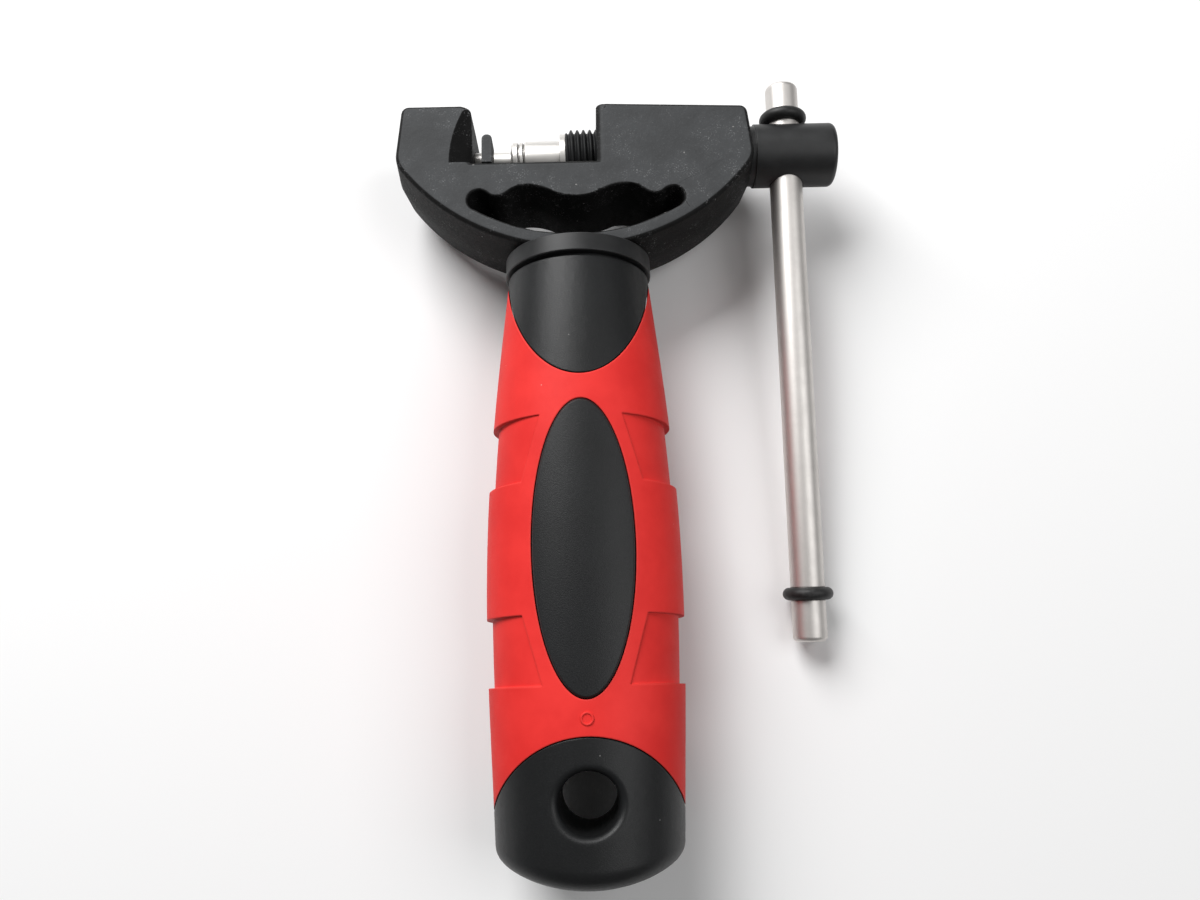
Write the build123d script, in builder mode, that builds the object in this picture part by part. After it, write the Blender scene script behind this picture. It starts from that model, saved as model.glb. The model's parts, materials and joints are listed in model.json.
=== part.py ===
from build123d import *
import os
from math import asin, cos, degrees, radians, sin, tan

os.makedirs("parts", exist_ok=True)

# Bicycle chain tool, lying on its back. The origin is the middle of the hang hole, +Y runs
# along the handle to the head, +X along the spindle to its turned end, and +Z is up.
# A "reach" is a distance along the handle from the spindle's axis towards the tail.

# ---- clearances ----
running_gap = 0.05      # radial, a shaft that turns or slides in its hole
bond_gap = 0.05         # between a moulding and what it is moulded round
seam = 0.2              # visible line between two mouldings
shoulder_gap = 0.3      # between pieces that come up against each other

# ---- handle: stations of its oval section ----
hole_to_spindle = 122.3
neck_half_width, neck_half_height = 13.55, 13.4
swell_reach, swell_half_width, swell_half_height = 55.0, 16.4, 13.9
belly_reach, belly_half_width, belly_half_height = 91.0, 17.75, 14.1
waist_reach, waist_half_width, waist_half_height = 117.0, 16.8, 13.8
tail_reach, tail_half_width, tail_half_height = 135.8, 16.0, 13.2
tail_end_radius = 34.0
tail_rounding = 3.6
grip_thickness = 2.2

# ---- handle: openings in the soft grip, its side pockets and the hang hole ----
neck_panel_tip_reach = 49.8
neck_panel_half_width = 13.5
neck_panel_half_length = 24.8
grip_start_from_neck = 1.9
oval_reach = 80.3
oval_half_width, oval_half_length = 8.85, 25.6
oval_rise = 0.35
oval_edge_chamfer = 0.3
tail_arch_reach = 112.1
tail_arch_radius = 17.0
pocket_depth = 1.05
pocket_length = 11.8
pocket_near_x, pocket_far_x = 7.3, 10.7
upper_pocket_reach = 57.1
lower_pocket_reach = 92.0
hang_hole_radius = 5.0
hang_hole_rim = 1.2

# ---- collar ----
collar_radius = 14.1
collar_width = 3.5
collar_chamfer = 0.5
collar_bore_radius = 10.95
neck_gap_radius, neck_gap_length = 12.6, 0.8

# ---- head, at the parting line halfway through its thickness ----
head_thickness = 18.0
draft_angle = 4.5
head_half_width = 35.6
jaw_lean = 1.2
anvil_jaw_top, spindle_jaw_top = 8.1, 7.0
jaw_corner_radius = 2.2
shoulder_reach = 4.8
shoulder_radius = 6.0
head_arc_radius = 42.9
head_reach = 22.8
head_base_half_width = 8.2
head_base_facing = 0.5
head_base_radius = 15.0
head_edge_radius = 0.95

# ---- chain slot, cradle teeth and pin exit ----
slot_floor_reach = 4.4
anvil_wall_x = -20.25
spindle_wall_x = 4.2
relief_top_x, relief_foot_x = -17.4, -24.45
relief_depth = 4.2
relief_slope = 45.0
tooth_x = -17.1
tooth_thickness = 2.0
tooth_top = 0.8
tooth_top_rounding = 0.97
tooth_length = 4.4
pin_exit_radius = 2.2

# ---- finger cut-out: reaches where its upper edge runs level, and how far apart they are ----
cutout_middle_reach = 13.4
cutout_hollow_reach, cutout_hollow_from_knuckle = 10.85, 6.0
cutout_knuckle_reach, cutout_knuckle_from_lobe = 13.0, 3.3
cutout_lobe_reach, cutout_lobe_from_side = 11.6, 16.9
cutout_bend_share = 0.58
cutout_floor_web, cutout_lobe_web = 2.9, 4.2767

# ---- tang, moulded into the handle core ----
tang_width, tang_thickness = 12.0, 6.0
tang_length = 60.0
tang_hole_radius = 3.0
tang_hole_spacing = 26.0

# ---- spindle ----
thread_radius = 5.9
spindle_start_x = -2.0
thread_chamfer = 0.7
spindle_head_radius = 6.25
spindle_head_length = 16.2
spindle_end_rounding = 1.1
holder_seat_radius, holder_seat_depth = 3.0, 9.0

# ---- drive pin, its holder and snap ring ----
holder_flange_radius, holder_flange_thickness = 5.15, 1.1
holder_radius, holder_length = 3.85, 7.15
holder_nose_radius, holder_nose_length = 3.35, 1.25
holder_edge_chamfer = 0.25
snap_ring_inner_radius, snap_ring_outer_radius = 3.1, 3.65
snap_ring_width = 0.6
snap_ring_opening = 50.0
pin_stem_radius, pin_stem_length = 2.0, 6.5
pin_shoulder_radius, pin_shoulder_length = 3.7, 1.3
pin_shoulder_chamfer = 0.45
pin_radius = 1.875
pin_tip_in_anvil = 2.05
pin_tip_chamfer = 0.3

# ---- T-bar and its O-rings ----
bar_radius = 3.25
bar_offset_x = 6.5
upper_end_length, lower_end_length = 7.1, 9.0
bar_end_rounding = 1.0
bar_dimple_radius, bar_dimple_depth = 1.2, 0.5
o_ring_spacing = 95.8
o_ring_radius, o_ring_section_radius = 4.75, 1.2

# ---- places worked out from those ----
spindle_y = hole_to_spindle
half_thickness = head_thickness / 2
cutout_floor_reach = head_reach - cutout_floor_web
collar_end_reach = head_reach + collar_width
neck_reach = collar_end_reach + neck_gap_length
grip_start_reach = neck_reach + grip_start_from_neck
spindle_head_x = head_half_width + shoulder_gap
bar_x = spindle_head_x + bar_offset_x
holder_face_x = spindle_start_x - holder_flange_thickness
nose_start_x = holder_face_x - holder_length
nose_end_x = nose_start_x - holder_nose_length
pin_stem_start_x = nose_end_x - 2 * running_gap
pin_tip_x = anvil_wall_x - pin_tip_in_anvil
tang_hole_reach = head_reach + tang_length / 2
tang_end_reach = cutout_floor_reach + head_edge_radius + tang_length
tail_arch_centre_reach = tail_arch_reach + tail_arch_radius
tallest = max(collar_radius, belly_half_height)
clear_through = 2 * tallest
clear_across = 4 * head_half_width
o_ring_centre_radius = o_ring_radius - o_ring_section_radius
upper_ring = spindle_head_radius + shoulder_gap + o_ring_section_radius
lower_ring = upper_ring - o_ring_spacing
bar_tilt = degrees(asin((tallest - o_ring_radius) / -lower_ring))
bar_direction = (0, cos(radians(bar_tilt)), sin(radians(bar_tilt)))


def reach_plane(reach):
    """Across the handle at a reach, facing the tail, with its x to +X and its y to +Z."""
    return Plane(origin=(0, spindle_y - reach, 0), x_dir=(1, 0, 0), z_dir=(0, -1, 0))


def spindle_plane(x):
    """Across the spindle at x, facing +X."""
    return Plane(origin=(x, spindle_y, 0), x_dir=(0, 1, 0), z_dir=(1, 0, 0))


def head_plane(height=0.0):
    """Seen from above at a height, with its origin on the spindle's axis and its y to +Y."""
    return Plane(origin=(0, spindle_y, height), x_dir=(1, 0, 0), z_dir=(0, 0, 1))


# Half profiles of turned pieces are drawn on these, with the axis along x.
spindle_profile = head_plane()
spindle_axis = Axis((0, spindle_y, 0), (1, 0, 0))
bar_origin = (bar_x, spindle_y, 0)
bar_profile = Plane(origin=bar_origin, x_dir=bar_direction, z_dir=(1, 0, 0))
bar_section = Plane(origin=bar_origin, x_dir=(1, 0, 0), z_dir=bar_direction)
bar_axis = Axis(bar_origin, bar_direction)


def handle_form(inset=0.0, side_inset=0.0):
    """The handle's oval form, shrunk all round by inset and at its sides by side_inset too."""
    stations = [
        (neck_reach, neck_half_width, neck_half_height),
        (swell_reach, swell_half_width, swell_half_height),
        (belly_reach, belly_half_width, belly_half_height),
        (waist_reach, waist_half_width, waist_half_height),
        (tail_reach, tail_half_width, tail_half_height),
    ]
    with BuildPart() as form:
        for reach, half_width, half_height in stations:
            with BuildSketch(reach_plane(reach)):
                Ellipse(half_width - inset - side_inset, half_height - inset)
        loft()
    return form.part


def bare_plan(gap=0.0):
    """Plan of what the soft grip leaves bare at the neck and the tail, grown by a gap."""
    with BuildSketch() as plan:
        with Locations((0, neck_panel_half_length - neck_panel_tip_reach)):
            Ellipse(neck_panel_half_width + gap, neck_panel_half_length + gap)
        with Locations((0, -grip_start_reach - gap)):
            Rectangle(clear_across, grip_start_reach, align=(Align.CENTER, Align.MIN))
        with Locations((0, -tail_arch_centre_reach)):
            Circle(tail_arch_radius + gap)
            Rectangle(clear_across, tail_reach, align=(Align.CENTER, Align.MAX))
    return plan.sketch


# ---- handle forms that the mouldings share ----
with BuildPart() as outer_form:
    add(handle_form())
    with BuildSketch(head_plane()):
        with Locations((0, tail_end_radius - tail_reach)):
            Circle(tail_end_radius)
            Rectangle(clear_across, tail_reach, align=(Align.CENTER, Align.MIN))
    extrude(amount=clear_through, both=True, mode=Mode.INTERSECT)
    fillet(edges().group_by(Axis.Y)[0], tail_rounding)

with BuildPart() as inner_form:
    add(handle_form(inset=grip_thickness))
    split(bisect_by=reach_plane(tail_arch_centre_reach), keep=Keep.BOTTOM)

bed_form = handle_form(inset=grip_thickness - bond_gap)

# ---- finger cut-out, wider at both faces by the draft ----
draft_growth = half_thickness * tan(radians(draft_angle))
base_y = -head_reach - head_base_facing
side_arc = RadiusArc((head_base_half_width, base_y), (head_half_width, -shoulder_reach), -head_arc_radius)
side_centre = side_arc.arc_center
lobe_x, lobe_y = head_half_width - cutout_lobe_from_side, -cutout_lobe_reach
knuckle_x = lobe_x - cutout_knuckle_from_lobe
hollow_x = knuckle_x - cutout_hollow_from_knuckle
lobe_web_radius = head_arc_radius - cutout_lobe_web
lobe_drop = side_centre.Y - lobe_y
lobe_radius = (lobe_web_radius**2 - (lobe_x - side_centre.X) ** 2 - lobe_drop**2) / (2 * (lobe_web_radius + lobe_drop))
lobe_rise = cutout_floor_reach + lobe_y - lobe_radius
cutout_floor_radius = (lobe_x**2 + lobe_rise**2 - lobe_radius**2) / (2 * (lobe_rise - lobe_radius))
floor_share = cutout_floor_radius / (cutout_floor_radius - lobe_radius)
floor_end_x = lobe_x * floor_share
floor_end_y = cutout_floor_radius - cutout_floor_reach - (cutout_floor_radius - lobe_rise) * floor_share
with BuildPart() as finger_cutout:
    with BuildSketch(head_plane(-half_thickness)):
        with BuildLine():
            level_points = [
                (0, cutout_middle_reach),
                (hollow_x, cutout_hollow_reach),
                (knuckle_x, cutout_knuckle_reach),
                (lobe_x, cutout_lobe_reach),
            ]
            for (x0, reach0), (x1, reach1) in zip(level_points, level_points[1:]):
                bend_x = x0 + (x1 - x0) * cutout_bend_share
                bend_y = -reach0 - (reach1 - reach0) * cutout_bend_share
                TangentArc((x0, -reach0), (bend_x, bend_y), tangent=(1, 0))
                TangentArc((x1, -reach1), (bend_x, bend_y), tangent=(-1, 0))
            RadiusArc((lobe_x, lobe_y), (floor_end_x, floor_end_y), lobe_radius)
            RadiusArc((floor_end_x, floor_end_y), (0, -cutout_floor_reach), cutout_floor_radius)
            mirror(about=Plane.YZ)
        make_face()
        offset(amount=draft_growth)
    extrude(amount=half_thickness, taper=draft_angle)
    mirror(about=Plane.XY)


# ---- relief of the anvil wall: a slope that widens towards the slot's floor ----
relief_foot_y = -slot_floor_reach - draft_growth
relief_head_y = anvil_jaw_top + relief_depth
relief_tail_y = relief_foot_y - 2 * relief_depth
relief_side_x = relief_foot_x + 3 * relief_depth
with BuildPart() as wall_relief:
    with BuildSketch(head_plane(half_thickness)):
        with BuildLine():
            TangentArc((relief_foot_x, relief_foot_y), (relief_top_x, relief_head_y), tangent=(0, 1))
            Polyline(
                (relief_foot_x, relief_foot_y),
                (relief_foot_x, relief_tail_y),
                (relief_side_x, relief_tail_y),
                (relief_side_x, relief_head_y),
                (relief_top_x, relief_head_y),
            )
        make_face()
    extrude(amount=-relief_depth, taper=relief_slope)
    split(bisect_by=reach_plane(-relief_foot_y), keep=Keep.BOTTOM)


# ---- head: drafted forging with chain slot, cradle teeth and tang ----
with BuildPart() as head:
    with BuildSketch(head_plane()):
        with BuildLine():
            Line((-head_half_width + jaw_lean, anvil_jaw_top), (-head_half_width, -shoulder_reach))
            RadiusArc((-head_half_width, -shoulder_reach), (-head_base_half_width, base_y), -head_arc_radius)
            Line((-head_base_half_width, base_y), (head_base_half_width, base_y))
            RadiusArc((head_base_half_width, base_y), (head_half_width, -shoulder_reach), -head_arc_radius)
            Polyline(
                (head_half_width, -shoulder_reach),
                (head_half_width - jaw_lean, spindle_jaw_top),
                (spindle_wall_x, anvil_jaw_top),
                (spindle_wall_x, -slot_floor_reach),
                (anvil_wall_x, -slot_floor_reach),
                (anvil_wall_x, anvil_jaw_top),
                (-head_half_width + jaw_lean, anvil_jaw_top),
            )
        make_face()
        fillet([vertices().sort_by(Axis.X)[0], vertices().sort_by(Axis.X)[-1]], shoulder_radius)
        fillet(vertices().group_by(Axis.Y)[0], head_base_radius)
        fillet(vertices().filter_by_position(Axis.Y, 0, 2 * anvil_jaw_top), jaw_corner_radius)
    extrude(amount=half_thickness, taper=draft_angle)
    fillet(faces().sort_by(Axis.Z)[-1].edges(), head_edge_radius)
    add(wall_relief.part, mode=Mode.SUBTRACT)
    add(finger_cutout.part, mode=Mode.SUBTRACT)
    fillet(faces().filter_by(Axis.Z).sort_by(Axis.Z)[-1].inner_wires()[0].edges(), head_edge_radius)
    with BuildSketch(head_plane(half_thickness)):
        with Locations((tooth_x, -slot_floor_reach - draft_growth)):
            Rectangle(tooth_thickness, tooth_top + slot_floor_reach + draft_growth, align=(Align.CENTER, Align.MIN))
        fillet(vertices().group_by(Axis.Y)[-1], tooth_top_rounding)
    extrude(amount=-tooth_length)
    mirror(about=Plane.XY)
    split(bisect_by=reach_plane(head_reach), keep=Keep.BOTTOM)
    with BuildSketch(reach_plane(cutout_floor_reach + head_edge_radius)):
        Rectangle(tang_width, tang_thickness)
    extrude(amount=tang_length)
    with BuildSketch(head_plane()):
        with Locations((0, -tang_hole_reach)):
            with GridLocations(0, tang_hole_spacing, 1, 2):
                Circle(tang_hole_radius)
    extrude(amount=tang_thickness, both=True, mode=Mode.SUBTRACT)
    with BuildSketch(spindle_plane(spindle_wall_x - draft_growth)):
        Circle(thread_radius + running_gap)
    extrude(amount=clear_across, mode=Mode.SUBTRACT)
    with BuildSketch(spindle_plane(holder_face_x - shoulder_gap)):
        Circle(thread_radius + shoulder_gap)
    extrude(amount=spindle_wall_x - holder_face_x + shoulder_gap, mode=Mode.SUBTRACT)
    with BuildSketch(spindle_plane(anvil_wall_x + draft_growth)):
        Circle(pin_exit_radius)
    extrude(amount=-clear_across, mode=Mode.SUBTRACT)
head.part.label = "head"
export_step(head.part, "parts/head.step")

# ---- collar between the head and the handle ----
with BuildPart() as collar:
    with BuildSketch(reach_plane(head_reach)):
        Circle(collar_radius)
    extrude(amount=collar_width)
    chamfer(edges(), collar_chamfer)
    with BuildSketch(reach_plane(head_reach)):
        Circle(collar_bore_radius)
    extrude(amount=collar_width, mode=Mode.SUBTRACT)
collar.part.label = "collar"
export_step(collar.part, "parts/collar.step")

# ---- handle core: hard moulding round the tang, bare at the neck and the tail ----
with BuildPart() as handle_core:
    add(outer_form.part)
    with BuildSketch(head_plane()):
        add(bare_plan())
    extrude(amount=clear_through, both=True, mode=Mode.INTERSECT)
    add(inner_form.part)
    with BuildSketch(reach_plane(collar_end_reach)):
        Circle(neck_gap_radius)
    extrude(amount=neck_gap_length)
    with BuildSketch(reach_plane(head_reach)):
        Circle(collar_bore_radius - bond_gap)
    extrude(amount=neck_reach - head_reach)
    with BuildSketch(reach_plane(head_reach)):
        Rectangle(tang_width + 2 * bond_gap, tang_thickness + 2 * bond_gap)
    extrude(amount=tang_end_reach + bond_gap - head_reach, mode=Mode.SUBTRACT)
    with BuildSketch(head_plane()):
        with Locations((0, -tang_hole_reach)):
            with GridLocations(0, tang_hole_spacing, 1, 2):
                Circle(tang_hole_radius - bond_gap)
    extrude(amount=tang_thickness / 2 + 2 * bond_gap, both=True)
    with BuildSketch(Plane.XY):
        Circle(hang_hole_radius)
    extrude(amount=clear_through, both=True, mode=Mode.SUBTRACT)
    hole_wall = faces().filter_by(GeomType.CYLINDER).sort_by_distance((0, 0, 0))[0]
    fillet(hole_wall.edges().filter_by(GeomType.LINE, reverse=True), hang_hole_rim)
handle_core.part.label = "handle_core"
export_step(handle_core.part, "parts/handle_core.step")

# ---- grip: soft moulding over the core, with windows and side pockets ----
pocket_floor = handle_form(side_inset=pocket_depth)
with BuildPart() as side_pockets:
    for reach, first_x, last_x in (
        (upper_pocket_reach, pocket_near_x, pocket_far_x),
        (lower_pocket_reach, pocket_far_x, pocket_near_x),
    ):
        with BuildSketch(head_plane()):
            Polygon(
                (first_x, -reach),
                (last_x, -reach - pocket_length),
                (clear_across, -reach - pocket_length),
                (clear_across, -reach),
                align=None,
            )
        extrude(amount=clear_through, both=True)
    mirror(about=Plane.YZ)
    add(pocket_floor, mode=Mode.SUBTRACT)

with BuildPart() as grip:
    add(outer_form.part)
    add(bed_form, mode=Mode.SUBTRACT)
    with BuildSketch(head_plane()):
        add(bare_plan(seam))
    extrude(amount=clear_through, both=True, mode=Mode.SUBTRACT)
    add(side_pockets.part, mode=Mode.SUBTRACT)
    with BuildSketch(head_plane()):
        with Locations((0, -oval_reach)):
            Ellipse(oval_half_width + seam, oval_half_length + seam)
    extrude(amount=clear_through, mode=Mode.SUBTRACT)
grip.part.label = "grip"
export_step(grip.part, "parts/grip.step")

# ---- oval panel in the grip's window ----
with BuildPart() as oval_panel:
    add(handle_form(inset=-oval_rise))
    add(bed_form, mode=Mode.SUBTRACT)
    with BuildSketch(head_plane()):
        with Locations((0, -oval_reach)):
            Ellipse(oval_half_width, oval_half_length)
    extrude(amount=clear_through, mode=Mode.INTERSECT)
    chamfer(faces().sort_by(Axis.Z)[-1].edges(), oval_edge_chamfer)
oval_panel.part.label = "oval_panel"
export_step(oval_panel.part, "parts/oval_panel.step")

# ---- spindle: threaded through the spindle jaw, cross-drilled head outside it ----
with BuildPart() as spindle:
    with BuildSketch(spindle_plane(spindle_start_x)):
        Circle(thread_radius)
    extrude(amount=spindle_head_x - spindle_start_x)
    chamfer(edges().group_by(Axis.X)[0], thread_chamfer)
    with BuildSketch(spindle_plane(spindle_head_x)):
        Circle(spindle_head_radius)
    extrude(amount=spindle_head_length)
    fillet(edges().group_by(Axis.X)[-1], spindle_end_rounding)
    with BuildSketch(spindle_plane(spindle_start_x)):
        Circle(holder_seat_radius)
    extrude(amount=holder_seat_depth, mode=Mode.SUBTRACT)
    with BuildSketch(bar_section):
        Circle(bar_radius + running_gap)
    extrude(amount=clear_through, both=True, mode=Mode.SUBTRACT)
spindle.part.label = "spindle"
export_step(spindle.part, "parts/spindle.step")

# ---- pin holder: turned cartridge seated in the spindle's end ----
stem_radius = holder_seat_radius - bond_gap
groove_start_x = nose_start_x - (holder_nose_length - snap_ring_width) / 2
groove_end_x = groove_start_x - snap_ring_width
groove_radius = snap_ring_inner_radius - bond_gap
with BuildPart() as pin_holder:
    with BuildSketch(spindle_profile):
        with BuildLine():
            Polyline(
                (nose_end_x, 0),
                (nose_end_x, holder_nose_radius),
                (groove_end_x - bond_gap, holder_nose_radius),
                (groove_end_x - bond_gap, groove_radius),
                (groove_start_x + bond_gap, groove_radius),
                (groove_start_x + bond_gap, holder_nose_radius),
                (nose_start_x, holder_nose_radius),
                (nose_start_x, holder_radius - holder_edge_chamfer),
                (nose_start_x + holder_edge_chamfer, holder_radius),
                (holder_face_x, holder_radius),
                (holder_face_x, holder_flange_radius),
                (spindle_start_x, holder_flange_radius),
                (spindle_start_x, stem_radius),
                (spindle_start_x + holder_seat_depth - shoulder_gap, stem_radius),
                (spindle_start_x + holder_seat_depth - shoulder_gap, 0),
                close=True,
            )
        make_face()
    revolve(axis=spindle_axis)
    with BuildSketch(spindle_plane(nose_end_x)):
        Circle(pin_stem_radius + running_gap)
    extrude(amount=pin_stem_length, mode=Mode.SUBTRACT)
pin_holder.part.label = "pin_holder"
export_step(pin_holder.part, "parts/pin_holder.step")

# ---- snap ring in the holder's groove, open at the bottom ----
with BuildPart() as snap_ring:
    with BuildSketch(spindle_plane(groove_end_x)):
        Circle(snap_ring_outer_radius)
        Circle(snap_ring_inner_radius, mode=Mode.SUBTRACT)
        with BuildLine():
            half_gap = snap_ring_opening / 2
            PolarLine((0, 0), 2 * snap_ring_outer_radius, -90 - half_gap)
            PolarLine((0, 0), 2 * snap_ring_outer_radius, -90 + half_gap)
            Line(edges()[0] @ 1, edges()[1] @ 1)
        make_face(mode=Mode.SUBTRACT)
    extrude(amount=snap_ring_width)
snap_ring.part.label = "snap_ring"
export_step(snap_ring.part, "parts/snap_ring.step")

# ---- drive pin: its shoulder stops on the holder, its tip passes through the chain ----
shoulder_start_x = pin_stem_start_x - pin_shoulder_length
with BuildPart() as drive_pin:
    with BuildSketch(spindle_profile):
        with BuildLine():
            Polyline(
                (pin_tip_x, 0),
                (pin_tip_x, pin_radius - pin_tip_chamfer),
                (pin_tip_x + pin_tip_chamfer, pin_radius),
                (shoulder_start_x, pin_radius),
                (shoulder_start_x, pin_shoulder_radius - pin_shoulder_chamfer),
                (shoulder_start_x + pin_shoulder_chamfer, pin_shoulder_radius),
                (pin_stem_start_x, pin_shoulder_radius),
                (pin_stem_start_x, pin_stem_radius),
                (nose_end_x + pin_stem_length - shoulder_gap, pin_stem_radius),
                (nose_end_x + pin_stem_length - shoulder_gap, 0),
                close=True,
            )
        make_face()
    revolve(axis=spindle_axis)
drive_pin.part.label = "drive_pin"
export_step(drive_pin.part, "parts/drive_pin.step")

# ---- T-bar, grooved for its O-rings ----
with BuildPart() as t_bar:
    with BuildSketch(bar_section.offset(lower_ring - lower_end_length)):
        Circle(bar_radius)
    extrude(amount=lower_end_length + o_ring_spacing + upper_end_length)
    fillet(edges().filter_by(GeomType.CIRCLE), bar_end_rounding)
    with BuildSketch(bar_profile):
        for place in (upper_ring, lower_ring):
            with Locations((place, o_ring_centre_radius)):
                Circle(o_ring_section_radius + bond_gap)
    revolve(axis=bar_axis, mode=Mode.SUBTRACT)
    with BuildSketch(bar_profile):
        for end, inward in ((upper_ring + upper_end_length, -1), (lower_ring - lower_end_length, 1)):
            Polygon((end, 0), (end, bar_dimple_radius), (end + inward * bar_dimple_depth, 0), align=None)
    revolve(axis=bar_axis, mode=Mode.SUBTRACT)
t_bar.part.label = "t_bar"
export_step(t_bar.part, "parts/t_bar.step")

# ---- O-rings that stop the T-bar ----
for name, place in (("o_ring_upper", upper_ring), ("o_ring_lower", lower_ring)):
    with BuildPart() as o_ring:
        with BuildSketch(bar_profile):
            with Locations((place, o_ring_centre_radius)):
                Circle(o_ring_section_radius)
        revolve(axis=bar_axis)
    o_ring.part.label = name
    export_step(o_ring.part, f"parts/{name}.step")
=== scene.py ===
"""Dresses the bicycle chain tool: its head's crisper corners, its cut thread and its finishes.

Everything is in metres in the part's own frame: +Y along the handle to the head, +X along the
spindle, and +Z up out of the oval panel.
"""

import json
import math

import bmesh
import bpy
from mathutils import Matrix, Vector
from mathutils.bvhtree import BVHTree
from mathutils.kdtree import KDTree


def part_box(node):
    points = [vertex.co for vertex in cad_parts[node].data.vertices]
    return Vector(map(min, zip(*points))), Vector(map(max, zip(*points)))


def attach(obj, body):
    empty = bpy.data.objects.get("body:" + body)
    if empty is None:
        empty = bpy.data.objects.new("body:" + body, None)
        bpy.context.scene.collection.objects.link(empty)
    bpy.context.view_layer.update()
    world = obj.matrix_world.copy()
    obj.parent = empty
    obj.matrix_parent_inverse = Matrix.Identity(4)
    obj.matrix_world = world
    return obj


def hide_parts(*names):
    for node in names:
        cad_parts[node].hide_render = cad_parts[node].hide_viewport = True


MM = 0.001

# Places and sizes in millimetres, with the spindle's axis at SPINDLE_Y.
SPINDLE_Y = 122.3
FLOOR_Z = -14.1
FLOOR_HALF_WIDTH = 3000

THREAD_PITCH = 1.25
THREAD_RADIUS = 5.9
THREAD_ROOT_RADIUS = 5.12
THREAD_START_X = -2.0
THREAD_END_X = 35.86
THREAD_CHAMFER = 0.7
THREAD_PHASE = 0.348
# Turns wound past its ends and pressed flat there, and where a flank starts and ends in the pitch.
TURNS_BEFORE, TURNS_AFTER = 2, 1
FLANK_FOOT, FLANK_TOP = 0.06, 0.42
SHANK_RADIUS = 5.0
SHANK_END_X = 35.6

# The head as packed. Its slot's floor and jaw's top are measured from the spindle's axis.
HEAD_HALF_THICKNESS = 9.0
HEAD_DRAFT = math.tan(math.radians(4.5))
SLOT_LEFT_X, SLOT_RIGHT_X = -20.25, 4.2
SLOT_FLOOR_Y = -4.4
JAW_TOP = 8.1
JAW_CORNER_RADIUS = 2.2
HEAD_RIM_INSET = 0.878

# How much of the head's roundings is left, and how square a corner gets, up to 1.
JAW_CORNER_SHARE = 0.6
CUTOUT_RIM_SHARE = 0.35
SLOT_CORNER_SQUARENESS = 0.7

COLLAR_RADIUS = 14.1
COLLAR_BORE_RADIUS = 10.95
COLLAR_START_REACH = 22.8
COLLAR_WIDTH = 3.5
COLLAR_EDGE = 0.14

GATE_MARK_Y = 13.2
GATE_MARK_RADIUS = 0.95
GATE_MARK_SECTION = 0.22
GATE_MARK_SIDES = 12
ABOVE_ALL_PIECES = 50

# Distances in metres under which vertices are one, or lie on the same level.
DOUBLES = 2e-6
THREAD_DOUBLES = 4e-6
SAME_LEVEL = 1e-6

# Angles in degrees above which an edge between two faces stays sharp.
SHARP = 30.0
SHARP_ON_HEAD = 28
SHARP_ON_TURNED = 35.0
SHARP_ON_RUBBER = 60

CAMERA_PLACE = (1.76, 16.093, 180.583)
CAMERA_LOOK = (0.00862, 0.244518, -0.969607)
CAMERA_UP = (0.024202, 0.969308, 0.244657)
CAMERA_LENS = 29.725

# Lights in metres and watts.
LIGHT_TARGET = (0.0, 0.03, 0.0)
LIGHT_SIZE = 0.5
KEY_PLACE, KEY_POWER = (-0.30, 0.56, 0.50), 8.0
FILL_PLACE, FILL_POWER = (0.45, 0.05, 0.62), 2.0
SKY_STRENGTH = 0.12


# ---- node trees written as expressions ----


class Signal:
    """An output socket in a node tree. Arithmetic on it adds Math nodes to the same tree."""

    def __init__(self, net, socket):
        self.net = net
        self.socket = socket

    def math(self, operation, *others, swapped=False):
        terms = [*others, self] if swapped else [self, *others]
        return self.net.add("ShaderNodeMath", {"operation": operation}, dict(enumerate(terms)))

    def __add__(self, other):
        return self.math("ADD", other)

    def __sub__(self, other):
        return self.math("SUBTRACT", other)

    def __rsub__(self, other):
        return self.math("SUBTRACT", other, swapped=True)

    def __mul__(self, other):
        return self.math("MULTIPLY", other)

    def __truediv__(self, other):
        return self.math("DIVIDE", other)

    def __pow__(self, other):
        return self.math("POWER", other)

    def __lt__(self, other):
        return self.math("LESS_THAN", other)

    __radd__ = __add__
    __rmul__ = __mul__

    def clamped(self, low=0.0, high=1.0):
        return self.math("MAXIMUM", low).math("MINIMUM", high)

    def ramp(self, start, end, low=0.0, high=1.0):
        """Runs smoothly from low at start to high at end."""
        return self.net.add(
            "ShaderNodeMapRange",
            {"interpolation_type": "SMOOTHSTEP", "clamp": True},
            {"Value": self, "From Min": start, "From Max": end, "To Min": low, "To Max": high},
        )


class Net:
    """Adds nodes to one tree: settings first, then the values or links of the sockets."""

    def __init__(self, tree):
        self.tree = tree

    def add(self, kind, settings=None, sockets=None, output=0):
        node = self.tree.nodes.new(kind)
        for key, value in (settings or {}).items():
            setattr(node, key, value)
        for key, value in (sockets or {}).items():
            self.feed(node.inputs[key], value)
        return Signal(self, node.outputs[output])

    def feed(self, socket, value):
        if isinstance(value, Signal):
            self.tree.links.new(value.socket, socket)
        else:
            socket.default_value = value

    def vector(self, operation, *terms, output=0):
        settings = {"operation": operation}
        return self.add("ShaderNodeVectorMath", settings, dict(enumerate(terms)), output)

    def part(self, signal, name):
        """Another output of the node that a signal comes from."""
        return Signal(self, signal.socket.node.outputs[name])

    def axes(self, vector):
        """The X, Y and Z of a vector."""
        x = self.add("ShaderNodeSeparateXYZ", {}, {0: vector})
        return x, self.part(x, "Y"), self.part(x, "Z")


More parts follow.
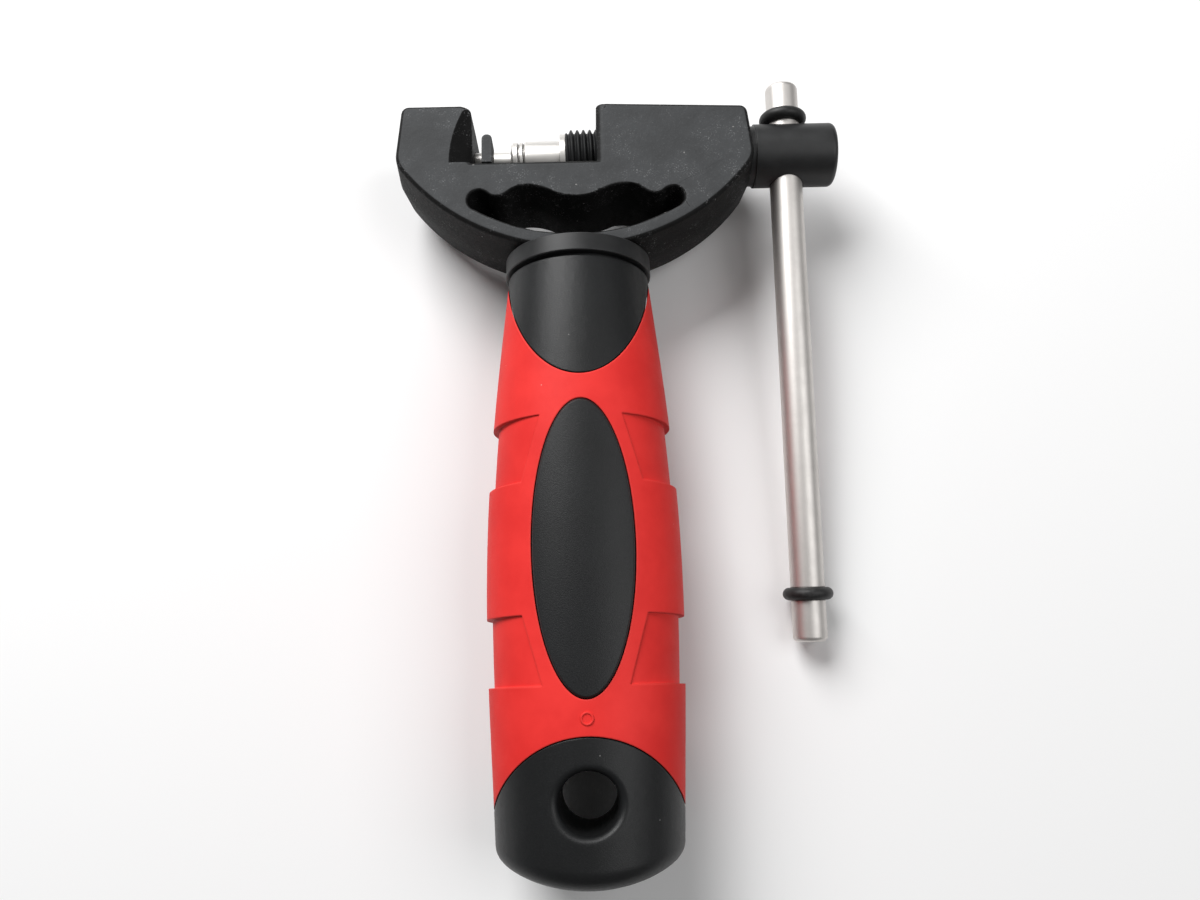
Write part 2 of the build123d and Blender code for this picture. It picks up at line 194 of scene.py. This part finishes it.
class Finish(Net):
    """A material in the making, around one Principled shader."""

    def __init__(self, name, **constants):
        self.material = bpy.data.materials.new(name)
        self.material.use_nodes = True
        super().__init__(self.material.node_tree)
        self.tree.nodes.clear()
        self.shader = self.tree.nodes.new("ShaderNodeBsdfPrincipled")
        output = self.tree.nodes.new("ShaderNodeOutputMaterial")
        self.tree.links.new(self.shader.outputs[0], output.inputs[0])
        for key, value in constants.items():
            self.shader.inputs[key.replace("_", " ")].default_value = value
        self.place = self.add("ShaderNodeTexCoord", output="Object")

    def set(self, name, value):
        self.feed(self.shader.inputs[name], value)

    def noise(self, size, detail=2.0, roughness=0.5, place=None, output="Fac"):
        """Noise whose lumps are about the given size in millimetres."""
        sockets = {
            "Vector": place or self.place,
            "Scale": 1 / (size * MM),
            "Detail": detail,
            "Roughness": roughness,
        }
        return self.add("ShaderNodeTexNoise", {}, sockets, output)

    def lines(self, along, size, detail, roughness):
        """Noise in one direction only, in lines about the given size in millimetres."""
        sockets = {"W": along, "Scale": 1 / (size * MM), "Detail": detail, "Roughness": roughness}
        return self.add("ShaderNodeTexNoise", {"noise_dimensions": "1D"}, sockets)

    def specks(self, size, edge, core, share, place=None):
        """1 in the middle of a share of cells of this size, fading to 0 from core to edge."""
        sockets = {"Vector": place or self.place, "Scale": 1 / (size * MM)}
        cell = self.add("ShaderNodeTexVoronoi", {}, sockets, "Distance")
        pick = self.add("ShaderNodeSeparateColor", {}, {0: self.part(cell, "Color")})
        return cell.ramp(edge, core) * (pick < share)

    def warped(self, size, reach=0.5):
        """Object coordinates pushed about by noise, so that specks on them aren't round."""
        push = self.noise(size, output="Color")
        centred = self.vector("SUBTRACT", push, (0.5, 0.5, 0.5))
        scaled = self.add(
            "ShaderNodeVectorMath", {"operation": "SCALE"}, {0: centred, "Scale": reach * MM}
        )
        return self.vector("ADD", self.place, scaled)

    def blend(self, factor, first, second):
        """A colour between two others."""
        return self.add(
            "ShaderNodeMix",
            {"data_type": "RGBA", "clamp_factor": True},
            {"Factor": factor, 6: first, 7: second},
            output=2,
        )

    def rounded(self, radius):
        """The surface's normal as if its edges were rounded to this radius in millimetres."""
        return self.add("ShaderNodeBevel", {"samples": 6}, {"Radius": radius * MM})

    def edge_wear(self, radius):
        """1 along edges, fading to 0 at this distance in millimetres."""
        turned = self.rounded(radius)
        true_normal = self.add("ShaderNodeNewGeometry", output="Normal")
        facing = self.vector("DOT_PRODUCT", turned, true_normal, output="Value")
        return (1 - facing).ramp(0.02, 0.22)

    def bump(self, height, depth, normal=None):
        """Relief of the given depth in millimetres for a height running 0 to 1."""
        sockets = {"Height": height, "Distance": depth * MM, "Strength": 1.0}
        if normal:
            sockets["Normal"] = normal
        return self.add("ShaderNodeBump", {}, sockets)


def grey(level, warmth=0.0):
    """A grey of this level, redder for a positive warmth and bluer for a negative one."""
    return (level * (1 + warmth), level, level * (1 - warmth), 1.0)


# ---- finishes ----


def powder_coat():
    """Matte black powder coat whose flat faces are painted mid grey for the sheen they catch
    (painted sheen), walls near black, with dust, specks and rubbed edges.
    """
    finish = Finish("head_coating", Specular_IOR_Level=0.12)
    _, _, upward = finish.axes(finish.add("ShaderNodeNewGeometry", output="Normal"))
    flat = upward.math("ABSOLUTE").ramp(0.92, 0.996)
    grain = finish.noise(0.34, 3.0, 0.6)
    lumps = finish.noise(1.3, 2.0)
    clouds = finish.noise(9.0, 3.0, 0.6)
    wear = finish.edge_wear(1.3)
    dusty = (clouds.ramp(0.42, 0.66) + 0.8 * wear).clamped()
    fine_dust = finish.noise(0.3, 2.0, 0.7).ramp(0.54, 0.66)
    fine_dust *= finish.noise(1.6, 3.0, 0.7).ramp(0.45, 0.62)
    fleck = finish.specks(1.4, 0.16, 0.1, 0.06, place=finish.warped(0.5))
    # Painted sheen: faces that lie flat get a mid grey base that stands in for the lamps' sheen on
    # them, toned by clouds and grain.
    painted_sheen_grey = finish.blend(clouds.ramp(0.3, 0.7), grey(0.05, -0.03), grey(0.062, -0.04))
    painted_sheen_grey = finish.blend(grain.ramp(0.5, 0.8, 0.0, 0.4), painted_sheen_grey, grey(0.11, -0.03))
    # Painted sheen and shade: walls stay near black (0.009), flat faces take the painted sheen
    # grey.
    base = finish.blend(flat, grey(0.009), painted_sheen_grey)
    base = finish.blend((wear * grain.ramp(0.4, 0.6, 0.1, 0.5)).clamped(), base, grey(0.1, -0.03))
    base = finish.blend(fine_dust * dusty * 0.7, base, grey(0.26, -0.01))
    base = finish.blend(fleck * 0.6, base, grey(0.32, 0.03))
    finish.set("Base Color", base)
    finish.set("Roughness", grain.ramp(0.2, 0.8, 0.52, 0.7))
    fine = finish.bump(grain, 0.05, finish.rounded(0.3))
    finish.set("Normal", finish.bump(lumps, 0.07, fine))
    return finish.material


def moulded_plastic(name, level, softness=0.3):
    """Charcoal moulding with a fine spark-eroded texture."""
    finish = Finish(name, Specular_IOR_Level=0.3)
    grain = finish.noise(0.2, 3.0, 0.6)
    clouds = finish.noise(14.0, 3.0)
    lint = finish.specks(1.9, 0.08, 0.05, 0.05)
    base = finish.blend(clouds.ramp(0.3, 0.7), grey(level, -0.05), grey(level * 1.25, -0.06))
    base = finish.blend(grain.ramp(0.52, 0.8, 0.0, 0.4), base, grey(level * 2.6, -0.04))
    base = finish.blend(lint * 0.5, base, grey(0.3, 0.02))
    finish.set("Base Color", base)
    finish.set("Roughness", grain.ramp(0.2, 0.8, 0.35, 0.49))
    finish.set("Normal", finish.bump(grain, 0.03, finish.rounded(softness)))
    return finish.material


def soft_rubber():
    """Red soft-touch overmould: faint flow mottling, a powdery surface and a few stray specks."""
    finish = Finish("grip_red", Specular_IOR_Level=0.16)
    mottle = finish.noise(11.0, 4.0, 0.55)
    grain = finish.noise(0.16, 2.0, 0.5)
    ripple = finish.noise(2.6, 3.0, 0.55)
    lint = finish.specks(2.3, 0.06, 0.04, 0.07)
    base = finish.blend(mottle.ramp(0.3, 0.7), (0.72, 0.028, 0.025, 1), (0.81, 0.038, 0.033, 1))
    # Lighter and more orange along the edges.
    base = finish.blend(finish.edge_wear(0.7) * 0.35, base, (0.86, 0.085, 0.07, 1))
    base = finish.blend(lint * 0.55, base, (0.9, 0.5, 0.45, 1))
    finish.set("Base Color", base)
    finish.set("Roughness", grain.ramp(0.25, 0.75, 0.46, 0.6))
    fine = finish.bump(grain, 0.015, finish.rounded(0.4))
    finish.set("Normal", finish.bump(ripple, 0.03, fine))
    return finish.material


def satin_black(name, turning, level, rough, gloss=0.5):
    """Black coated or oxidised steel, turned about an axis, so its sheen runs in fine rings."""
    finish = Finish(name, Specular_IOR_Level=gloss)
    smear = finish.noise(3.5, 4.0, 0.6)
    grain = finish.noise(0.12, 2.0)
    rings = finish.lines(turning(finish), 0.16, 3.0, 0.6)
    wear = finish.edge_wear(0.5)
    base = finish.blend(smear.ramp(0.35, 0.7), grey(level, -0.04), grey(level * 1.5, -0.04))
    base = finish.blend(wear * grain.ramp(0.45, 0.6, 0.1, 0.5), base, grey(0.12))
    finish.set("Base Color", base)
    finish.set("Roughness", (rough + 0.12 * smear + 0.08 * (rings - 0.5)).clamped(0.2, 0.8))
    fine = finish.bump(rings, 0.006, finish.rounded(0.25))
    finish.set("Normal", finish.bump(grain, 0.006, fine))
    return finish.material


def bright_metal(name, turning, tint, rough, scratch_stretch):
    """Turned or drawn bare metal, with marks that run about the axis or along it, and painted shade
    darkening its crevices.
    """
    finish = Finish(name, Metallic=1.0)
    smear = finish.noise(4.0, 4.0, 0.65)
    stain = finish.noise(0.9, 4.0, 0.6)
    marks = finish.lines(turning(finish), 0.09, 4.0, 0.65)
    sockets = {"Vector": finish.place, "Scale": scratch_stretch}
    scratches = finish.noise(0.22, 3.0, 0.7, place=finish.add("ShaderNodeMapping", {}, sockets))
    red, green, blue = (channel * 0.72 for channel in tint)
    # Painted shade: ambient occlusion turns the base dark in grooves and corners, where shade
    # falls.
    crevice_shade = finish.add(
        "ShaderNodeAmbientOcclusion", {"samples": 8}, {"Distance": 0.45 * MM}, output="AO"
    )
    base = finish.blend(smear.ramp(0.35, 0.75, 0.0, 0.3), (*tint, 1), (red, green, blue, 1))
    base = finish.blend(stain.ramp(0.66, 0.8, 0.0, 0.25), base, (red, green * 0.96, blue * 0.9, 1))
    base = finish.blend(crevice_shade.ramp(0.35, 0.85), grey(0.03, 0.1), base)
    finish.set("Base Color", base)
    roughness = rough + 0.08 * (smear - 0.5) + 0.1 * (scratches - 0.5)
    finish.set("Roughness", roughness.clamped(0.12, 0.7))
    fine = finish.bump(marks, 0.002, finish.rounded(0.2))
    finish.set("Normal", finish.bump(scratches, 0.0015, fine))
    return finish.material


def ring_rubber():
    """Black nitrile of the O-rings, with a grey bloom."""
    finish = Finish("o_ring_rubber", Specular_IOR_Level=0.4)
    bloom = finish.noise(1.2, 4.0, 0.65)
    grain = finish.noise(0.12, 2.0)
    base = finish.blend(bloom.ramp(0.45, 0.75), grey(0.011), grey(0.035))
    finish.set("Base Color", base)
    finish.set("Roughness", bloom.ramp(0.3, 0.7, 0.42, 0.6))
    finish.set("Normal", finish.bump(grain, 0.01))
    return finish.material


def spindle_turning(finish):
    """Distance along the spindle and out from it, so that ends and sides both show rings."""
    x, y, z = finish.axes(finish.place)
    y = y - SPINDLE_Y * MM
    return x + (y * y + z * z) ** 0.5


def around_handle(finish):
    """Distance out from the handle's middle line and along it."""
    x, y, z = finish.axes(finish.place)
    return (x * x + z * z) ** 0.5 + y


# The bar's drawn lines: metres of pattern for each radian round it, and the share along it.
ROUND_BAR_STEP, ALONG_BAR_SHARE = 0.0016, 0.05


def around_bar(middle, direction):
    """Distance round the T-bar, which gives drawn lines along it."""

    def turned(finish):
        offset = finish.vector("SUBTRACT", finish.place, tuple(middle))
        length = finish.vector("DOT_PRODUCT", offset, tuple(direction), output="Value")
        across, _, up = finish.axes(offset)
        return across.math("ARCTAN2", up) * ROUND_BAR_STEP + length * ALONG_BAR_SHARE

    return turned


# ---- pieces ----


def finished_piece(work, name, material, sharp):
    """Makes a piece of a bmesh, shaded smooth but for edges of more than sharp degrees."""
    limit = math.radians(sharp)
    for edge in work.edges:
        if len(edge.link_faces) == 2:
            edge.smooth = edge.calc_face_angle(0.0) < limit
    for face in work.faces:
        face.smooth = True
    mesh = bpy.data.meshes.new(name)
    work.to_mesh(mesh)
    work.free()
    mesh.materials.append(material)
    piece = bpy.data.objects.new(name, mesh)
    bpy.context.scene.collection.objects.link(piece)
    weigh = piece.modifiers.new("even_shading", "WEIGHTED_NORMAL")
    weigh.keep_sharp = True
    weigh.weight = 80
    return piece


def joined_copy(node_name, name, material, sharp=SHARP, reshape=None):
    """A CAD node's own surface with its doubles merged, reshaped where a finer form is wanted."""
    work = bmesh.new()
    work.from_mesh(frame["nodes"][node_name].data)
    bmesh.ops.remove_doubles(work, verts=work.verts, dist=DOUBLES)
    for face in work.faces:
        face.material_index = 0
    if reshape:
        reshape(work)
    return finished_piece(work, name, material, sharp)


def linked_groups(neighbours):
    """Splits a dict of lists of neighbours into the sets that hang together, and empties it."""
    groups = []
    while neighbours:
        waiting, group = [next(iter(neighbours))], set()
        while waiting:
            vertex = waiting.pop()
            if vertex in neighbours:
                group.add(vertex)
                waiting.extend(neighbours.pop(vertex))
        groups.append(group)
    return groups


def cutout_outline(work, level):
    """The vertices round the finger cut-out where the head's flat side at this height ends."""

    def is_flat(face):
        return all(abs(vertex.co.z - level) < SAME_LEVEL for vertex in face.verts)

    neighbours = {}
    for edge in work.edges:
        if len(edge.link_faces) == 2 and sum(is_flat(face) for face in edge.link_faces) == 1:
            a, b = edge.verts
            neighbours.setdefault(a, []).append(b)
            neighbours.setdefault(b, []).append(a)

    def width(outline):
        return max(vertex.co.x for vertex in outline) - min(vertex.co.x for vertex in outline)

    # The head's own outline is wider, and any smaller one has few vertices.
    return min((group for group in linked_groups(neighbours) if len(group) > 40), key=width)


def tighten_cutout_rims(work):
    """Draws the cut-out's rounded rims towards its corner lines, so that they look crisp."""
    inset = HEAD_RIM_INSET * MM
    least, near, deep = 0.05 * inset, 1.25 * inset, 1.02 * inset
    for level in (HEAD_HALF_THICKNESS * MM, -HEAD_HALF_THICKNESS * MM):
        outline = list(cutout_outline(work, level))
        inward = []
        for vertex in outline:
            ends = [edge.other_vert(vertex).co for edge in vertex.link_edges]
            ways = [(end - vertex.co).to_2d() for end in ends if abs(end.z - level) > SAME_LEVEL]
            total = sum((way.normalized() for way in ways if way.length > 1e-7), Vector((0, 0)))
            inward.append(total.normalized())
        tree = KDTree(len(outline))
        for k, vertex in enumerate(outline):
            tree.insert((vertex.co.x, vertex.co.y, 0), k)
        tree.balance()
        moves = []
        for vertex in work.verts:
            if abs(vertex.co.z - level) > deep:
                continue
            _, k, distance = tree.find((vertex.co.x, vertex.co.y, 0))
            across = (vertex.co - outline[k].co).to_2d().dot(inward[k])
            on_rim = across > least or vertex is outline[k]
            if on_rim and distance < near:
                shift = (1 - CUTOUT_RIM_SHARE) * (inset - across)
                height = level + (vertex.co.z - level) * CUTOUT_RIM_SHARE
                moves.append((vertex, inward[k] * shift, height))
        for vertex, shift, height in moves:
            vertex.co.xy += shift
            vertex.co.z = height


def square_jaw_corner(work):
    """Tightens the plan corner where the spindle jaw's end meets the chain slot."""
    middle = Vector((SLOT_RIGHT_X, SPINDLE_Y + JAW_TOP)) + Vector((1, -1)) * JAW_CORNER_RADIUS
    far = JAW_CORNER_RADIUS + 0.1
    near = 0.02
    for vertex in work.verts:
        arm = vertex.co.to_2d() / MM - middle
        if -far < arm.x < near and -near < arm.y < far:
            draft = abs(vertex.co.z) / MM * HEAD_DRAFT
            shrink = (JAW_CORNER_RADIUS - draft) * (1 - JAW_CORNER_SHARE)
            arm = Vector((-shrink, shrink)) + arm.normalized() * max(arm.length - shrink, near)
            vertex.co.xy = (middle + arm) * MM


def upright_slot_walls(work):
    """Stands the slot's walls upright, spreads their rims, and squares the right floor corner."""
    widest = HEAD_HALF_THICKNESS * HEAD_DRAFT + HEAD_RIM_INSET
    corner_y = SPINDLE_Y + SLOT_FLOOR_Y
    tiny = 0.001
    for vertex in work.verts:
        place = vertex.co / MM
        drop = max(corner_y - place.y, 0)
        draft = abs(place.z) * HEAD_DRAFT
        for wall, way, squareness in (
            (SLOT_RIGHT_X, 1, SLOT_CORNER_SQUARENESS),
            (SLOT_LEFT_X, -1, 0),
        ):
            depth = (place.x - wall) * way
            reach = math.hypot(depth, drop)
            if depth < 0 or not draft - 0.02 < reach < widest + 0.01:
                continue
            square = 1 + squareness * (reach / max(depth, drop, tiny) - 1)
            spread = max(reach - draft, 0) * widest / (widest - draft)
            vertex.co.x = (wall + way * spread * depth / max(reach, tiny) * square) * MM
            if drop:
                vertex.co.y = (corner_y - drop * square) * MM


def refine_head(work):
    """Gives the head the crisper corners that a forging's cut faces have."""
    tighten_cutout_rims(work)
    square_jaw_corner(work)
    upright_slot_walls(work)


def mount(piece, body, slot, *nodes):
    """Hangs a finished piece on its body, in place of the CAD nodes that it stands for."""
    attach(piece, body)
    if nodes:
        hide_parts(*nodes)


def plain_mesh(piece):
    """Turns a piece and its modifiers into a mesh of its own."""
    view = bpy.context.evaluated_depsgraph_get()
    mesh = bpy.data.meshes.new_from_object(piece.evaluated_get(view), depsgraph=view)
    for modifier in list(piece.modifiers):
        piece.modifiers.remove(modifier)
    piece.data = mesh
    return piece


def grown_piece(name, tree, inputs):
    """Runs a Geometry Nodes tree with the given inputs and keeps the mesh that it makes."""
    piece = bpy.data.objects.new(name, bpy.data.meshes.new(name))
    bpy.context.scene.collection.objects.link(piece)
    modifier = piece.modifiers.new("grown", "NODES")
    modifier.node_group = tree
    identifiers = {
        item.name: item.identifier for item in tree.interface.items_tree if item.in_out == "INPUT"
    }
    for key, value in inputs.items():
        modifier[identifiers[key]] = value
    return plain_mesh(piece)


class Grower(Net):
    """A Geometry Nodes tree in the making, with named inputs."""

    def __init__(self, name, sizes):
        tree = bpy.data.node_groups.new(name, "GeometryNodeTree")
        super().__init__(tree)
        for key, value in sizes.items():
            kind = "NodeSocketInt" if isinstance(value, int) else "NodeSocketFloat"
            socket = tree.interface.new_socket(key, in_out="INPUT", socket_type=kind)
            socket.default_value = value
        tree.interface.new_socket("Finish", in_out="INPUT", socket_type="NodeSocketMaterial")
        tree.interface.new_socket("Geometry", in_out="OUTPUT", socket_type="NodeSocketGeometry")
        self.entry = tree.nodes.new("NodeGroupInput")

    def given(self, name):
        return Signal(self, self.entry.outputs[name])

    def close(self, geometry):
        """Ends the tree: real geometry in the given finish."""
        real = self.add("GeometryNodeRealizeInstances", {}, {0: geometry})
        dressed = self.add(
            "GeometryNodeSetMaterial", {}, {"Geometry": real, "Material": self.given("Finish")}
        )
        output = self.tree.nodes.new("NodeGroupOutput")
        self.tree.links.new(dressed.socket, output.inputs[0])
        return self.tree


def thread_tree():
    """A right-hand screw thread about +X: a strip wound in a helix, ridged across."""
    net = Grower(
        "screw_thread",
        {
            "Pitch": 0.00125,
            "Start": 0.0,
            "End": 0.03,
            "Crest radius": 0.006,
            "Root radius": 0.005,
            "Chamfer": 0.0007,
            "Phase": 0.0,
            "Axis Y": 0.0,
            "Steps per turn": 48,
            "Section points": 9,
        },
    )
    pitch, start, end = net.given("Pitch"), net.given("Start"), net.given("End")
    crest, root = net.given("Crest radius"), net.given("Root radius")
    steps, across = net.given("Steps per turn"), net.given("Section points")
    turns = (end - start) / pitch + (TURNS_BEFORE + TURNS_AFTER)
    along_count = turns.math("CEIL") * steps + 1
    grid = net.add(
        "GeometryNodeMeshGrid",
        {},
        {"Size X": 1.0, "Size Y": 1.0, "Vertices X": along_count, "Vertices Y": across},
    )
    index = net.add("GeometryNodeInputIndex")
    row = (index / across).math("FLOOR")
    section = (index - row * across) / (across - 1)
    turn = row / steps
    x = start + pitch * (turn + section + net.given("Phase") - TURNS_BEFORE)
    x = x.clamped(start, end)
    # From the middle of one root to the next: up a flank, over the crest, down the other.
    flank = 0.5 - (section - 0.5).math("ABSOLUTE")
    height = flank.ramp(FLANK_FOOT, FLANK_TOP)
    lead_in = crest - net.given("Chamfer") + (x - start)
    radius = (root + (crest - root) * height).math("MINIMUM", lead_in)
    angle = turn * (2 * math.pi)
    y = net.given("Axis Y") + radius * angle.math("COSINE")
    z = radius * angle.math("SINE")
    place = net.add("ShaderNodeCombineXYZ", {}, {0: x, 1: y, 2: z})
    wound = net.add("GeometryNodeSetPosition", {}, {"Geometry": grid, "Position": place})
    weld_sockets = {"Geometry": wound, "Distance": THREAD_DOUBLES}
    welded = net.add("GeometryNodeMergeByDistance", {}, weld_sockets)
    smooth = net.add("GeometryNodeSetShadeSmooth", {}, {"Geometry": welded})
    return net.close(smooth)


def lathe(name, profile, material, origin, axis, segments=64):
    """A closed profile of (along, out) points in millimetres turned about an axis."""
    work = bmesh.new()
    direction = Vector(axis).normalized()
    side = direction.orthogonal().normalized()
    rings = []
    for step in range(segments):
        spin = Matrix.Rotation(2 * math.pi * step / segments, 3, direction)
        out = spin @ side
        places = (Vector(origin) + (direction * a + out * r) * MM for a, r in profile)
        rings.append([work.verts.new(place) for place in places])
    for step, here in enumerate(rings):
        there = rings[(step + 1) % segments]
        for k in range(len(profile)):
            after = (k + 1) % len(profile)
            work.faces.new((here[k], there[k], there[after], here[after]))
    bmesh.ops.recalc_face_normals(work, faces=work.faces)
    return finished_piece(work, name, material, SHARP_ON_TURNED)


def top_of(node_name, x, y):
    """Where a plumb line at x and y in millimetres meets a CAD node, and the normal there."""
    work = bmesh.new()
    work.from_mesh(frame["nodes"][node_name].data)
    start = Vector((x, y, ABOVE_ALL_PIECES)) * MM
    place, normal, _, _ = BVHTree.FromBMesh(work).ray_cast(start, Vector((0, 0, -1)))
    work.free()
    return place, normal


def bare_shank(piece):
    """Thins the spindle's shank so that the thread piece stands over it."""
    for vertex in piece.data.vertices:
        if vertex.co.x > SHANK_END_X * MM:
            continue
        y, z = vertex.co.y - SPINDLE_Y * MM, vertex.co.z
        out = math.hypot(y, z)
        if out > SHANK_RADIUS * MM:
            vertex.co.y = SPINDLE_Y * MM + y * SHANK_RADIUS * MM / out
            vertex.co.z = z * SHANK_RADIUS * MM / out
            vertex.co.x = max(vertex.co.x, (THREAD_START_X + 0.02) * MM)


# ---- the tool ----

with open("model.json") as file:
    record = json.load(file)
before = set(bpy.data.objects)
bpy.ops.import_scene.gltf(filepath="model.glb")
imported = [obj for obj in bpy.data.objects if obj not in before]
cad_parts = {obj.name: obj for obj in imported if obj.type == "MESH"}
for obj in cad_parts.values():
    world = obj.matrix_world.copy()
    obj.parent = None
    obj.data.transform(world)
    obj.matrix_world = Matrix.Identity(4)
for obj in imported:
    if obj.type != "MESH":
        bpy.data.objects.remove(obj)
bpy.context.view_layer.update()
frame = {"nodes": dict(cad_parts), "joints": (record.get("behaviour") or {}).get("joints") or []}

bar = next(joint for joint in frame["joints"] if joint["name"] == "t_bar_slide")
bar_direction = Vector(bar["axis"]).normalized()
bar_low, bar_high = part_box("t_bar")
bar_middle = Vector(((bar_low.x + bar_high.x) / 2, SPINDLE_Y * MM, 0))

coat = powder_coat()
core = moulded_plastic("core_plastic", 0.009)
panel = moulded_plastic("panel_plastic", 0.009, 0.25)
rubber = soft_rubber()
washer = satin_black("collar_black", around_handle, 0.011, 0.4, 0.38)
oxide = satin_black("spindle_black", spindle_turning, 0.01, 0.42)
# Painted shade: the thread takes a darker, less glossy copy of the spindle's black, standing in for
# the shade among its ridges.
thread_shaded_black = satin_black("thread_black", spindle_turning, 0.006, 0.5, 0.22)
steel = bright_metal("bright_steel", spindle_turning, (0.78, 0.76, 0.73), 0.42, (0.12, 1, 1))
bar_turning = around_bar(bar_middle, bar_direction)
nickel = bright_metal("bar_nickel", bar_turning, (0.70, 0.672, 0.645), 0.5, (1, 0.05, 1))
nitrile = ring_rubber()

head = joined_copy("head", "head_casting", coat, SHARP_ON_HEAD, refine_head)
mount(head, "frame", "head_coating", "head")
mount(joined_copy("handle_core", "handle_moulding", core), "frame", "core_plastic", "handle_core")
mount(joined_copy("grip", "soft_grip", rubber), "frame", "grip_red", "grip")
mount(joined_copy("oval_panel", "oval_inset", panel), "frame", "panel_plastic", "oval_panel")

# The collar: a turned ring with only its edges broken.
collar_section = [
    (0, COLLAR_BORE_RADIUS),
    (0, COLLAR_RADIUS - COLLAR_EDGE),
    (COLLAR_EDGE, COLLAR_RADIUS),
    (COLLAR_WIDTH - COLLAR_EDGE, COLLAR_RADIUS),
    (COLLAR_WIDTH, COLLAR_RADIUS - COLLAR_EDGE),
    (COLLAR_WIDTH, COLLAR_BORE_RADIUS),
]
collar_start = Vector((0, SPINDLE_Y - COLLAR_START_REACH, 0)) * MM
collar = lathe("neck_collar", collar_section, washer, collar_start, (0, -1, 0), 128)
mount(collar, "frame", "collar_black", "collar")

spindle = joined_copy("spindle", "spindle_shaft", oxide)
bare_shank(spindle)
mount(spindle, "spindle", "spindle_black", "spindle")
thread = grown_piece(
    "spindle_thread",
    thread_tree(),
    {
        "Pitch": THREAD_PITCH * MM,
        "Start": THREAD_START_X * MM,
        "End": THREAD_END_X * MM,
        "Crest radius": THREAD_RADIUS * MM,
        "Root radius": THREAD_ROOT_RADIUS * MM,
        "Chamfer": THREAD_CHAMFER * MM,
        "Phase": THREAD_PHASE,
        "Axis Y": SPINDLE_Y * MM,
        "Finish": thread_shaded_black,
    },
)
mount(thread, "spindle", "spindle_black")
mount(joined_copy("pin_holder", "holder_cartridge", steel), "spindle", "bright_steel", "pin_holder")
mount(joined_copy("snap_ring", "holder_snap_ring", steel), "spindle", "bright_steel", "snap_ring")
mount(joined_copy("drive_pin", "push_pin", steel), "drive_pin", "bright_steel", "drive_pin")

mount(joined_copy("t_bar", "sliding_bar", nickel), "t_bar", "bar_nickel", "t_bar")
for ring_name in ("o_ring_upper", "o_ring_lower"):
    ring = joined_copy(ring_name, "stop_" + ring_name, nitrile, SHARP_ON_RUBBER)
    mount(ring, "t_bar", "o_ring_rubber", ring_name)

# The moulding gate's mark on the grip above the tail: a small raised ring.
on_grip, grip_normal = top_of("grip", 0, GATE_MARK_Y)
gate_angles = [2 * math.pi * k / GATE_MARK_SIDES for k in range(GATE_MARK_SIDES)]
gate_section = [
    (GATE_MARK_SECTION * math.cos(angle), GATE_MARK_RADIUS + GATE_MARK_SECTION * math.sin(angle))
    for angle in gate_angles
]
mount(lathe("gate_mark", gate_section, rubber, on_grip, grip_normal, 40), "frame", "grip_red")


# ---- stand, light and camera ----


def pale_stage():
    """A plain floor that the camera sees as near white, with the tool's soft shadow on it."""
    finish = Finish("pale_floor", Roughness=0.9, Specular_IOR_Level=0.1)
    rays = finish.add("ShaderNodeLightPath", output="Is Camera Ray")
    shown = rays + finish.part(rays, "Is Glossy Ray") + finish.part(rays, "Is Transmission Ray")
    finish.set("Base Color", finish.blend(shown.clamped(), grey(0.3), grey(0.88)))
    half, depth = FLOOR_HALF_WIDTH * MM, FLOOR_Z * MM
    corners = [(x * half, y * half, depth) for x, y in ((-1, -1), (1, -1), (1, 1), (-1, 1))]
    mesh = bpy.data.meshes.new("floor")
    mesh.from_pydata(corners, [], [(0, 1, 2, 3)])
    mesh.materials.append(finish.material)
    floor = bpy.data.objects.new("floor", mesh)
    bpy.context.scene.collection.objects.link(floor)


def soft_light(name, place, power):
    """A square lamp that faces the tool."""
    lamp = bpy.data.lights.new(name, "AREA")
    lamp.shape = "RECTANGLE"
    lamp.size = lamp.size_y = LIGHT_SIZE
    lamp.energy = power
    light = bpy.data.objects.new(name, lamp)
    light.location = place
    aim = Vector(LIGHT_TARGET) - Vector(place)
    light.rotation_euler = aim.to_track_quat("-Z", "Y").to_euler()
    bpy.context.scene.collection.objects.link(light)


def camera():
    """Looks down steeply from above the handle's middle, through a wide lens."""
    look = Vector(CAMERA_LOOK).normalized()
    right = look.cross(Vector(CAMERA_UP)).normalized()
    up = right.cross(look)
    data = bpy.data.cameras.new("camera")
    data.lens = CAMERA_LENS
    data.sensor_width = 36.0
    data.clip_start = 0.005
    view = bpy.data.objects.new("camera", data)
    turn = Matrix((right, up, -look)).transposed().to_4x4()
    view.matrix_world = Matrix.Translation(Vector(CAMERA_PLACE) * MM) @ turn
    bpy.context.scene.collection.objects.link(view)
    bpy.context.scene.camera = view


def pale_sky():
    """Even white light from all round."""
    world = bpy.data.worlds.new("studio")
    world.use_nodes = True
    background = world.node_tree.nodes["Background"]
    background.inputs["Color"].default_value = (1, 1, 1, 1)
    background.inputs["Strength"].default_value = SKY_STRENGTH
    bpy.context.scene.world = world


pale_stage()
soft_light("key", KEY_PLACE, KEY_POWER)
soft_light("fill", FILL_PLACE, FILL_POWER)
camera()
pale_sky()
bpy.context.scene.view_settings.view_transform = "Standard"
